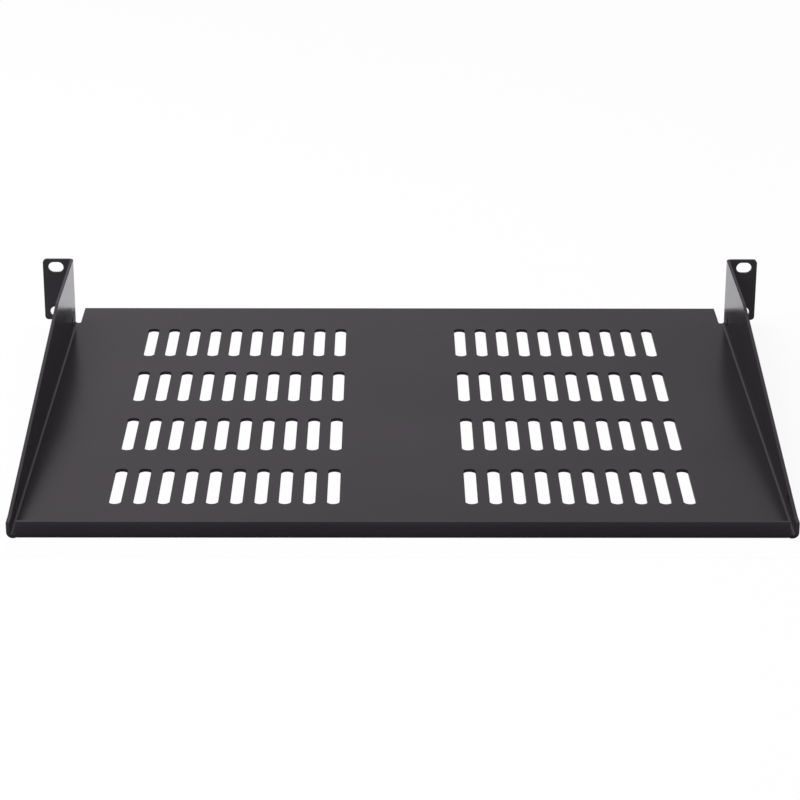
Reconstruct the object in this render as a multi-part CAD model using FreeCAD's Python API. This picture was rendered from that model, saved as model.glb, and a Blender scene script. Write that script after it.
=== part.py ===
import FreeCAD, Part
import os
from math import sqrt

# Vented shelf for a 19 inch rack, one unit high, cut and folded from a single steel sheet.
# The floor, two tapering side walls, the rear lip and the two mounting ears are one piece.
# Millimetres. +X to the right seen from the front, +Y towards the front, +Z up.
# Origin: middle of the footprint, on the floor's underside.

# Sheet and folds
sheet = 2.0
inner_radius = 1.5

# Mounting ears
ear_span = 482.6
ear_reach = 18.8
ear_height = 43.0
ear_corner_radius = 2.5
screw_edge_distance = 8.75
screw_spacing_z = 31.75
screw_slot_length = 10.2
screw_slot_width = 7.4

# Tray
depth_behind_ears = 351.0
tongue_reach = 27.0
lip_height = 11.0
corner_gap = 3.5
relief_depth = 1.0
notch_radius = 0.9
lip_relief_width = 0.4

# Outline of the side walls, level at the ears and tapering to the rear
wall_level_length = 88.0
wall_rear_height = 9.5
wall_foot_length = 9.0
wall_setback = 2.0
wall_bend_radius = 6.0
wall_corner_radius = 1.0

# Ventilation slots, in two blocks on either side of the middle
slot_length = 51.5
slot_width = 7.2
slot_end_bulge = 2.65
slot_pitch = 14.0
slots_per_block = 10
block_offset = 40.0
row_pitch = 80.0
row_count = 4

# Round holes through both side walls
side_hole_diameter = 6.0
side_hole_height = 9.0
front_hole_setback = 20.0
rear_hole_setback = 33.0

# Clearance by which a cutting tool runs past the sheet
overrun = 1.0

# Sizes that follow from the ones above. The shelf is drawn with the back faces of its
# ears, which seat on the rack's rails, in the plane Y = 0.
outer_radius = inner_radius + sheet
tray_width = ear_span - 2 * ear_reach
wall_outside = tray_width / 2
wall_inside = wall_outside - sheet
floor_edge = wall_outside - outer_radius
tongue_edge = wall_inside - corner_gap
ear_bottom = outer_radius
ear_top = ear_bottom + ear_height
ear_fold = -inner_radius
lip_fold = outer_radius - depth_behind_ears
wall_rear = wall_setback - depth_behind_ears
screw_x = ear_span / 2 - screw_edge_distance
front_notch_end = ear_fold - relief_depth
middle_y = (tongue_reach - depth_behind_ears) / 2

left = FreeCAD.Vector(-1, 0, 0)
right = FreeCAD.Vector(1, 0, 0)
front = FreeCAD.Vector(0, 1, 0)
rear = FreeCAD.Vector(0, -1, 0)
up = FreeCAD.Vector(0, 0, 1)


def fold(start, travel, turn, reach, sweep):
    """A quarter bend and the leg behind it, swept along the fold line.

    The sheet comes in along travel with its outer skin through start, bends
    towards turn, and its leg ends at the distance reach from start.
    """
    centre = start + turn * outer_radius
    outer_end = centre + travel * outer_radius
    inner_end = centre + travel * inner_radius
    inner_start = start + turn * sheet
    diagonal = (travel - turn) * (1 / sqrt(2))
    leg = turn * (reach - outer_radius)
    outline = [
        Part.Arc(start, centre + diagonal * outer_radius, outer_end).toShape(),
        Part.makeLine(outer_end, outer_end + leg),
        Part.makeLine(outer_end + leg, inner_end + leg),
        Part.makeLine(inner_end + leg, inner_end),
        Part.Arc(inner_end, centre + diagonal * inner_radius, inner_start).toShape(),
        Part.makeLine(inner_start, start),
    ]
    return Part.Face(Part.Wire(outline)).extrude(sweep)


def slot_cutter(centre, long_side, length, width, end_bulge, through):
    """A tool with two straight sides and arcs for ends, from centre along through."""
    across = long_side.cross(through).normalize() * (width / 2)
    along = long_side * (length / 2 - end_bulge)
    tip = long_side * (length / 2)
    outline = [
        Part.makeLine(centre - along + across, centre + along + across),
        Part.Arc(centre + along + across, centre + tip, centre + along - across).toShape(),
        Part.makeLine(centre + along - across, centre - along - across),
        Part.Arc(centre - along - across, centre - tip, centre - along + across).toShape(),
    ]
    return Part.Face(Part.Wire(outline)).extrude(through)


def edges_through(solid, direction, points):
    """The straight edges of a solid that run along direction and pass through one of the points."""
    chosen = []
    for edge in solid.Edges:
        run = edge.Vertexes[-1].Point - edge.Vertexes[0].Point
        parallel = run.Length > 0 and run.cross(direction).Length < 1e-6
        if parallel and any(edge.distToShape(Part.Vertex(point))[0] < 1e-6 for point in points):
            chosen.append(edge)
    return chosen


def ventilation_slots():
    """Tools for all slots, centred on the flat floor from the tongue's edge to the lip's fold."""
    middle_row = (tongue_reach + lip_fold) / 2
    first_row = middle_row + row_pitch * (row_count - 1) / 2
    through = up * (sheet + 2 * overrun)
    tools = []
    for row in range(row_count):
        for column in range(slots_per_block):
            for side in (-1, 1):
                x = side * (block_offset + slot_pitch * column)
                centre = FreeCAD.Vector(x, first_row - row_pitch * row, -overrun)
                tools.append(slot_cutter(centre, front, slot_length, slot_width, slot_end_bulge, through))
    return tools


def lip_bay():
    """A tool for the bay in which the lip is folded up, with a thin relief cut at each of its ends."""
    height = sheet + 2 * overrun
    bay_edge = tongue_edge + lip_relief_width
    bay_depth = lip_fold - wall_rear + overrun
    corner = FreeCAD.Vector(-bay_edge, wall_rear - overrun, -overrun)
    bay = Part.makeBox(2 * bay_edge, bay_depth, height, corner)
    for x in (-bay_edge, tongue_edge):
        corner = FreeCAD.Vector(x, wall_rear - overrun, -overrun)
        bay = bay.fuse(Part.makeBox(lip_relief_width, bay_depth + relief_depth, height, corner))
    return bay


def floor():
    """The flat floor with its slots, from the rear ends of the walls to the tongue's front edge."""
    corner = FreeCAD.Vector(-floor_edge, wall_rear, 0)
    plate = Part.makeBox(2 * floor_edge, tongue_reach - wall_rear, sheet, corner)
    return plate.cut(ventilation_slots() + [lip_bay()])


def wall_outline():
    """A block across the whole tray whose side view is the outline of the side walls."""
    kink = FreeCAD.Vector(0, -wall_level_length, ear_top)
    foot = FreeCAD.Vector(0, wall_rear + wall_foot_length, wall_rear_height)
    heel = FreeCAD.Vector(0, wall_rear, wall_rear_height)
    rear_bottom = FreeCAD.Vector(0, wall_rear, -overrun)
    front_bottom = FreeCAD.Vector(0, overrun, -overrun)
    front_top = FreeCAD.Vector(0, overrun, ear_top)
    side_view = Part.makePolygon([front_top, kink, foot, heel, rear_bottom, front_bottom, front_top])
    block = Part.Face(side_view).extrude(right * (tray_width + 2 * overrun))
    block = block.translated(left * (wall_outside + overrun))
    middle_bends = edges_through(block, right, [kink, foot])
    block = block.makeFillet(wall_bend_radius, middle_bends)
    return block.makeFillet(wall_corner_radius, edges_through(block, right, [heel]))


def side_walls():
    """Both side walls with their folds, cut to their outline and drilled."""
    sweep = front * (ear_fold - wall_rear)
    start_right = FreeCAD.Vector(floor_edge, wall_rear, 0)
    start_left = FreeCAD.Vector(-floor_edge, wall_rear, 0)
    walls = fold(start_right, right, up, ear_top, sweep)
    walls = walls.fuse(fold(start_left, left, up, ear_top, sweep))
    walls = walls.common(wall_outline())
    drill_length = tray_width + 2 * overrun
    for y in (-front_hole_setback, wall_rear + rear_hole_setback):
        start = FreeCAD.Vector(-drill_length / 2, y, side_hole_height)
        drill = Part.makeCylinder(side_hole_diameter / 2, drill_length, start, right)
        walls = walls.cut(drill)
    return walls


def rear_lip():
    """The lip folded up along the floor's rear edge."""
    start = FreeCAD.Vector(-tongue_edge, lip_fold, 0)
    return fold(start, rear, up, lip_height, right * (2 * tongue_edge))


def ear(outwards):
    """One mounting ear, folded outwards from the front end of its side wall."""
    start = FreeCAD.Vector(outwards.x * wall_inside, ear_fold, ear_bottom)
    tip_x = outwards.x * ear_span / 2
    plate = fold(start, front, outwards, ear_span / 2 - wall_inside, up * ear_height)
    corners = [FreeCAD.Vector(tip_x, 0, ear_bottom), FreeCAD.Vector(tip_x, 0, ear_top)]
    plate = plate.makeFillet(ear_corner_radius, edges_through(plate, front, corners))
    middle_z = (ear_bottom + ear_top) / 2
    through = front * (sheet + 2 * overrun)
    for z in (middle_z - screw_spacing_z / 2, middle_z + screw_spacing_z / 2):
        centre = FreeCAD.Vector(outwards.x * screw_x, -overrun, z)
        cutter = slot_cutter(centre, right, screw_slot_length, screw_slot_width, screw_slot_width / 2, through)
        plate = plate.cut(cutter)
    return plate


def front_notches():
    """Tools that free the tongue from the ears, rounded where they meet the tongue's sides."""
    tools = []
    width = wall_outside + overrun - tongue_edge
    depth = tongue_reach + overrun - front_notch_end
    for side in (-1, 1):
        middle_x = side * (tongue_edge + width / 2)
        corner = FreeCAD.Vector(middle_x - width / 2, front_notch_end, -overrun)
        tool = Part.makeBox(width, depth, ear_bottom + overrun, corner)
        inner_corner = FreeCAD.Vector(side * tongue_edge, front_notch_end, 0)
        tools.append(tool.makeFillet(notch_radius, edges_through(tool, up, [inner_corner])))
    return tools


def shelf():
    """The whole folded sheet as one solid, moved so that the origin is in the middle of its footprint."""
    tray = floor().fuse([side_walls(), rear_lip()])
    tray = tray.cut(front_notches())
    folded = tray.fuse([ear(left), ear(right)]).removeSplitter()
    return folded.translated(rear * middle_y)


os.makedirs("parts", exist_ok=True)
body = shelf()
print("shelf", body.ShapeType, "valid", body.isValid(), "solids", len(body.Solids), "faces", len(body.Faces))
print("volume", round(body.Volume, 1), "box", body.BoundBox)
body.exportStep("parts/shelf.step")
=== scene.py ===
import math

import bpy
from mathutils import Matrix, Vector


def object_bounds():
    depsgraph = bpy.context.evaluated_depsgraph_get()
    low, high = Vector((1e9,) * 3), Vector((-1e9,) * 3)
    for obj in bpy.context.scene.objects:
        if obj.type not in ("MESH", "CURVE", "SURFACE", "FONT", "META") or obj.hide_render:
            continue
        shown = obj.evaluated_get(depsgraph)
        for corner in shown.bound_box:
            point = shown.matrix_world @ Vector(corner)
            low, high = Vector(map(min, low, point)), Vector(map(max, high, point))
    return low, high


# The looks of the rack shelf: the CAD node itself in black powder coat, on a white table.
# Metres. +X to the right seen from the front, +Y towards the front, +Z up.

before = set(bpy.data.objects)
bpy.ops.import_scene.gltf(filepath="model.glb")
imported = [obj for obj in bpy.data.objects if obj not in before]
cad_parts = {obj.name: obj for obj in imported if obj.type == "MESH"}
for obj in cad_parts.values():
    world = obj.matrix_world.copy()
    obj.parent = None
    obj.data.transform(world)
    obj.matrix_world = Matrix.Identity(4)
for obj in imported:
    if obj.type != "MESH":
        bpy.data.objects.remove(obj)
cad_low, cad_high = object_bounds()

# Camera, as fitted to the photograph: behind the shelf and above it, looking forwards over
# the rear lip. The focal length is in pixels of the square image, the angles in radians.
IMAGE = 800
FOCAL_PX = 2697.44
PITCH = 0.37908
YAW = 0.00598
ROLL = 0.00305
EYE = Vector((-0.01016, -1.56501, 0.63255))
SENSOR_WIDTH = 36
NEAREST, FARTHEST = 0.05, 100

# Powder coat: its tone drifts between two near blacks, and its roughness varies with the grain.
DARK_TONE = (0.0135, 0.0120, 0.0142, 1)
PALE_TONE = (0.0250, 0.0223, 0.0264, 1)
GLOSS_TINT = (1.0, 0.95, 1.0, 1)
COAT_IOR = 1.3
SMOOTHEST, ROUGHEST = 0.17, 0.23
DRIFT_SCALE, DRIFT_DETAIL = 9, 3
GRAIN_SCALE, GRAIN_DETAIL = 1100, 2
RELIEF_STRENGTH, RELIEF_DEPTH = 0.3, 0.0002

# Table, with a darker patch under the tray and a little behind it. The patch is a painted shadow
# of the shelf on the table, dark in the gloss and white to the camera, which keeps the table's white
# out of the walls beside the notches and out of the lip. Both lie a little below the shelf's underside.
TABLE_REACH = 12
TABLE_LEVEL = -0.0006
SHADOW_PATCH_LEVEL = -0.0004
TRAY_HALF_WIDTH = 0.2225
SHADOW_PATCH_BEHIND_LIP = 0.022
COOL_SHARE = 1.04

# Card beyond the tongue: its glow rises towards its top and towards the left.
CARD_PLACE = 1.0
CARD_HALF_WIDTH = 1.8
CARD_HEIGHT = 1.6
CARD_COLOUR = (1.04, 0.975, 1.05, 1)
GLOW_SLOPE = (-0.23, 0.0, 0.375)
GLOW_AT_ORIGIN = 0.343
LEAST_GLOW, MOST_GLOW = 0.2, 1.0
GLOW_MIRRORED_TWICE = 0.52

# World and lamp
WHITE = (1, 1, 1, 1)
ROOM = (0.72, 0.70, 0.72, 1)
LAMP_PLACE = Vector((-1.1, -0.2, 1.7))
LAMP_SIZE = 1.2
LAMP_WATTS = 26


def place_camera():
    """The camera, turned by yaw, pitch and roll in that order."""
    look = Vector((math.sin(YAW) * math.cos(PITCH), math.cos(YAW) * math.cos(PITCH), -math.sin(PITCH)))
    level = Vector((math.cos(YAW), -math.sin(YAW), 0))
    upright = level.cross(look)
    across = level * math.cos(ROLL) + upright * math.sin(ROLL)
    upwards = upright * math.cos(ROLL) - level * math.sin(ROLL)
    data = bpy.data.cameras.new("camera")
    data.sensor_width = SENSOR_WIDTH
    data.lens = FOCAL_PX / IMAGE * SENSOR_WIDTH
    data.clip_start, data.clip_end = NEAREST, FARTHEST
    camera = bpy.data.objects.new("camera", data)
    bpy.context.collection.objects.link(camera)
    turn = Matrix((across, upwards, -look)).transposed()
    camera.matrix_world = Matrix.Translation(EYE) @ turn.to_4x4()
    bpy.context.scene.camera = camera


def noise(nodes, links, place, scale, detail):
    """A noise texture at the given place, which stays put on the part."""
    texture = nodes.new("ShaderNodeTexNoise")
    texture.inputs["Scale"].default_value = scale
    texture.inputs["Detail"].default_value = detail
    links.new(place, texture.inputs["Vector"])
    return texture.outputs["Fac"]


def powder_coat():
    """Satin black powder coat, with a slow drift of tone and a fine grain."""
    material = bpy.data.materials.new("powder_coat")
    material.use_nodes = True
    nodes, links = material.node_tree.nodes, material.node_tree.links
    shader = nodes["Principled BSDF"]
    shader.inputs["IOR"].default_value = COAT_IOR
    shader.inputs["Specular Tint"].default_value = GLOSS_TINT
    place = nodes.new("ShaderNodeTexCoord").outputs["Object"]

    # Slow drift of the film's tone over the sheet
    drift = noise(nodes, links, place, DRIFT_SCALE, DRIFT_DETAIL)
    tone = nodes.new("ShaderNodeMix")
    tone.data_type = "RGBA"
    tone.inputs["A"].default_value = DARK_TONE
    tone.inputs["B"].default_value = PALE_TONE
    links.new(drift, tone.inputs["Factor"])
    links.new(tone.outputs["Result"], shader.inputs["Base Color"])

    # Fine grain of the cured powder, in gloss and in height
    grain = noise(nodes, links, place, GRAIN_SCALE, GRAIN_DETAIL)
    gloss = nodes.new("ShaderNodeMapRange")
    gloss.inputs["To Min"].default_value = SMOOTHEST
    gloss.inputs["To Max"].default_value = ROUGHEST
    links.new(grain, gloss.inputs["Value"])
    links.new(gloss.outputs["Result"], shader.inputs["Roughness"])
    relief = nodes.new("ShaderNodeBump")
    relief.inputs["Strength"].default_value = RELIEF_STRENGTH
    relief.inputs["Distance"].default_value = RELIEF_DEPTH
    links.new(grain, relief.inputs["Height"])
    links.new(relief.outputs["Normal"], shader.inputs["Normal"])
    return material


def panel(name, corners):
    """An object of one four-sided face, and the empty node tree of its material."""
    mesh = bpy.data.meshes.new(name)
    mesh.from_pydata(corners, [], [(0, 1, 2, 3)])
    sheet = bpy.data.objects.new(name, mesh)
    bpy.context.collection.objects.link(sheet)
    material = bpy.data.materials.new(name)
    material.use_nodes = True
    material.node_tree.nodes.clear()
    mesh.materials.append(material)
    return sheet, material.node_tree.nodes, material.node_tree.links


def combine(nodes, links, operation, first, second):
    """The result of a maths node on an output and either another output or a number."""
    node = nodes.new("ShaderNodeMath")
    node.operation = operation
    links.new(first, node.inputs[0])
    if isinstance(second, (int, float)):
        node.inputs[1].default_value = second
    else:
        links.new(second, node.inputs[1])
    return node.outputs["Value"]


def studio_plane(name, half_width, rear, front, level, albedo, white_share, mirrored_share):
    """A matt level plane that the camera sees as white, and the gloss as white in part."""
    ends = ((-half_width, rear), (half_width, rear), (half_width, front), (-half_width, front))
    corners = [(x, y, level) for x, y in ends]
    plane, nodes, links = panel(name, corners)
    path = nodes.new("ShaderNodeLightPath")
    seen = combine(nodes, links, "MULTIPLY", path.outputs["Is Camera Ray"], white_share)
    mirrored = combine(nodes, links, "MULTIPLY", path.outputs["Is Glossy Ray"], mirrored_share)
    share = combine(nodes, links, "MAXIMUM", seen, mirrored)
    matt = nodes.new("ShaderNodeBsdfDiffuse")
    matt.inputs["Color"].default_value = (albedo, albedo, albedo * COOL_SHARE, 1)
    white = nodes.new("ShaderNodeEmission")
    mix = nodes.new("ShaderNodeMixShader")
    output = nodes.new("ShaderNodeOutputMaterial")
    links.new(share, mix.inputs["Fac"])
    links.new(matt.outputs["BSDF"], mix.inputs[1])
    links.new(white.outputs["Emission"], mix.inputs[2])
    links.new(mix.outputs["Shader"], output.inputs["Surface"])


def gradient_card():
    """A glowing card beyond the tongue that shows only in the gloss."""
    ends = ((-1, 0), (1, 0), (1, 1), (-1, 1))
    corners = [(x * CARD_HALF_WIDTH, CARD_PLACE, z * CARD_HEIGHT) for x, z in ends]
    card, nodes, links = panel("gradient_card", corners)
    card.visible_camera = False
    card.visible_diffuse = False
    card.visible_shadow = False

    place = nodes.new("ShaderNodeTexCoord").outputs["Object"]
    slope = nodes.new("ShaderNodeVectorMath")
    slope.operation = "DOT_PRODUCT"
    slope.inputs[1].default_value = GLOW_SLOPE
    links.new(place, slope.inputs[0])
    limit = nodes.new("ShaderNodeClamp")
    limit.inputs["Min"].default_value = LEAST_GLOW
    limit.inputs["Max"].default_value = MOST_GLOW
    links.new(combine(nodes, links, "ADD", slope.outputs["Value"], GLOW_AT_ORIGIN), limit.inputs["Value"])

    # Dimmer where it is mirrored twice: the walls mirror the floor, which mirrors the card
    path = nodes.new("ShaderNodeLightPath")
    dimming = nodes.new("ShaderNodeMapRange")
    dimming.inputs["From Min"].default_value = 1
    dimming.inputs["From Max"].default_value = 2
    dimming.inputs["To Min"].default_value = 1
    dimming.inputs["To Max"].default_value = GLOW_MIRRORED_TWICE
    links.new(path.outputs["Ray Depth"], dimming.inputs["Value"])
    strength = combine(nodes, links, "MULTIPLY", limit.outputs["Result"], dimming.outputs["Result"])

    glow = nodes.new("ShaderNodeEmission")
    glow.inputs["Color"].default_value = CARD_COLOUR
    output = nodes.new("ShaderNodeOutputMaterial")
    links.new(strength, glow.inputs["Strength"])
    links.new(glow.outputs["Emission"], output.inputs["Surface"])


def studio_world():
    """An even pale room that the camera sees as white."""
    world = bpy.data.worlds.new("studio")
    bpy.context.scene.world = world
    world.use_nodes = True
    nodes, links = world.node_tree.nodes, world.node_tree.links
    nodes.clear()
    room = nodes.new("ShaderNodeBackground")
    room.inputs["Color"].default_value = ROOM
    white = nodes.new("ShaderNodeBackground")
    white.inputs["Color"].default_value = WHITE
    path = nodes.new("ShaderNodeLightPath")
    mix = nodes.new("ShaderNodeMixShader")
    output = nodes.new("ShaderNodeOutputWorld")
    links.new(path.outputs["Is Camera Ray"], mix.inputs["Fac"])
    links.new(room.outputs["Background"], mix.inputs[1])
    links.new(white.outputs["Background"], mix.inputs[2])
    links.new(mix.outputs["Shader"], output.inputs["Surface"])


def overhead_lamp():
    """A large soft lamp above and to the left, aimed at the middle of the shelf's footprint."""
    data = bpy.data.lights.new("overhead", "AREA")
    data.shape = "SQUARE"
    data.size = LAMP_SIZE
    data.energy = LAMP_WATTS
    lamp = bpy.data.objects.new("overhead", data)
    bpy.context.collection.objects.link(lamp)
    lamp.location = LAMP_PLACE
    lamp.rotation_mode = "QUATERNION"
    lamp.rotation_quaternion = (-LAMP_PLACE).to_track_quat("-Z", "Y")


place_camera()
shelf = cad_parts["shelf"]
coat = powder_coat()
for slot in shelf.material_slots:
    slot.material = coat
studio_plane("studio_floor", TABLE_REACH, -TABLE_REACH, TABLE_REACH, TABLE_LEVEL,
             albedo=0.85, white_share=0.9, mirrored_share=0.35)
# Painted shadow: a dark matt patch under and just behind the shelf, white to the camera, dark in the
# gloss
studio_plane("painted_shadow_table", TRAY_HALF_WIDTH, cad_low[1] - SHADOW_PATCH_BEHIND_LIP, cad_high[1], SHADOW_PATCH_LEVEL,
             albedo=0.35, white_share=0.985, mirrored_share=0.0)
gradient_card()
studio_world()
overhead_lamp()
bpy.context.scene.view_settings.view_transform = "Standard"
